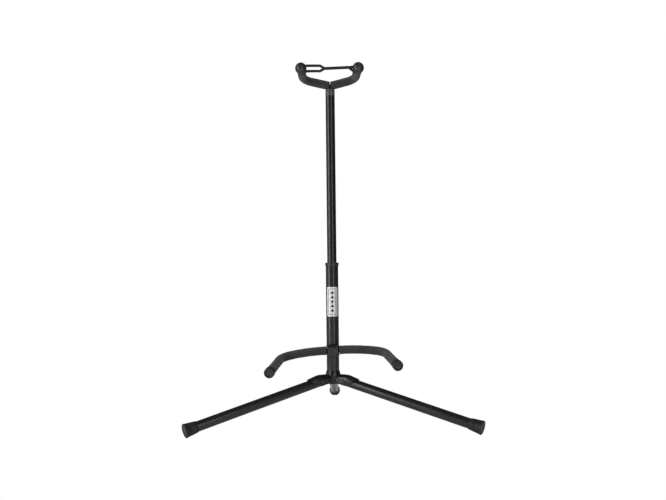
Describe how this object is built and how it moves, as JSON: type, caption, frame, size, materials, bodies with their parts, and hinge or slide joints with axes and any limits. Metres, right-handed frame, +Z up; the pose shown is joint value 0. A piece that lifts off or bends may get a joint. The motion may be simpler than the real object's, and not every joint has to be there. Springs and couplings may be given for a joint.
{
  "type": "guitar stand",
  "caption": "Folding tripod guitar stand: telescoping mast, padded lower cradle, padded neck yoke with rubber balls and safety strap.",
  "frame": {"origin": "on the floor, under the centre of the outline of the three feet", "axes": "+Z up along the mast, the cradle and yoke open towards -Y, +X to the right seen from the front"},
  "size_m": [0.5486, 0.4774, 0.7109],
  "materials": {
    "black_coat": "semi-gloss powder coat",
    "black_nylon": "satin moulded nylon",
    "foot_rubber": "matte moulded rubber",
    "ball_rubber": "soft satin rubber",
    "strap_rubber": "smooth rubber",
    "dark_steel": "black oxide",
    "plated_steel": "zinc plated",
    "foam": "closed-cell foam, fine matte skin",
    "grey_collar": "grey satin",
    "white_label": "glossy sticker"
  },
  "bodies": {
    "base": {"hub_sleeve": "black_coat", "leg_bracket_left": "black_coat", "leg_bracket_right": "black_coat", "leg_bracket_rear": "black_coat", "leg_rivet_left": "dark_steel", "leg_rivet_right": "dark_steel", "leg_rivet_rear": "dark_steel", "bottom_plug": "black_nylon", "lower_tube": "black_coat", "collar_bush": "black_nylon", "lock_boss": "black_coat", "label": "white_label", "cradle_bracket": "black_coat", "cradle_stop_pin": "dark_steel"},
    "leg_left": {"leg_left": "black_coat", "leg_insert_left": "black_nylon", "foot_left": "foot_rubber"},
    "leg_right": {"leg_right": "black_coat", "leg_insert_right": "black_nylon", "foot_right": "foot_rubber"},
    "leg_rear": {"leg_rear": "black_coat", "leg_insert_rear": "black_nylon", "foot_rear": "foot_rubber"},
    "cradle": {"cradle_bar": "black_coat", "cradle_stop_ring": "dark_steel", "cradle_foam_left": "foam", "cradle_foam_right": "foam", "cradle_cap_left": "ball_rubber", "cradle_cap_right": "ball_rubber"},
    "guide": {"mast_guide": "black_nylon"},
    "mast": {"upper_tube": "black_coat", "yoke_socket": "black_coat", "yoke_collar": "grey_collar", "yoke_rod_left": "black_coat", "yoke_rod_right": "black_coat", "yoke_foam_left": "foam", "yoke_foam_right": "foam", "yoke_ball_left": "ball_rubber", "yoke_ball_right": "ball_rubber"},
    "clamp_screw": {"lock_stud": "plated_steel", "lock_wing": "black_nylon"},
    "strap": {"security_strap": "strap_rubber"}
  },
  "joints": [
    {"name": "leg_fold_left", "type": "hinge", "parent": "base", "child": "leg_left", "pos_m": [-0.02425, -0.08694, 0.07849], "axis": [0.5, -0.866, 0], "range_deg": [0, 76]},
    {"name": "leg_fold_right", "type": "hinge", "parent": "base", "child": "leg_right", "pos_m": [0.02425, -0.08694, 0.07849], "axis": [0.5, 0.866, 0], "range_deg": [0, 76]},
    {"name": "leg_fold_rear", "type": "hinge", "parent": "base", "child": "leg_rear", "pos_m": [0.00029, -0.04494, 0.07849], "axis": [-0.9999, 0.0105, 0], "range_deg": [0, 76]},
    {"name": "cradle_fold", "type": "hinge", "parent": "base", "child": "cradle", "pos_m": [0, -0.09294, 0.1403], "axis": [-0.999, 0, -0.0454], "range_deg": [0, 84]},
    {"name": "height_slide", "type": "slide", "parent": "base", "child": "guide", "axis": [0, 0, 1], "range_m": [-0.095, 0.065]},
    {"name": "mast_turn", "type": "hinge", "parent": "guide", "child": "mast", "pos_m": [0, -0.07294, 0.3], "axis": [0, 0, 1], "continuous": true},
    {"name": "clamp_screw_turn", "type": "hinge", "parent": "base", "child": "clamp_screw", "pos_m": [0, -0.04294, 0.296], "axis": [0, 1, 0], "range_deg": [-360, 0]},
    {"name": "strap_unhook", "type": "hinge", "parent": "mast", "child": "strap", "pos_m": [0.05533, -0.13564, 0.6995], "axis": [0, -1, 0], "range_deg": [0, 90], "deforming": ["security_strap"]}
  ]
}
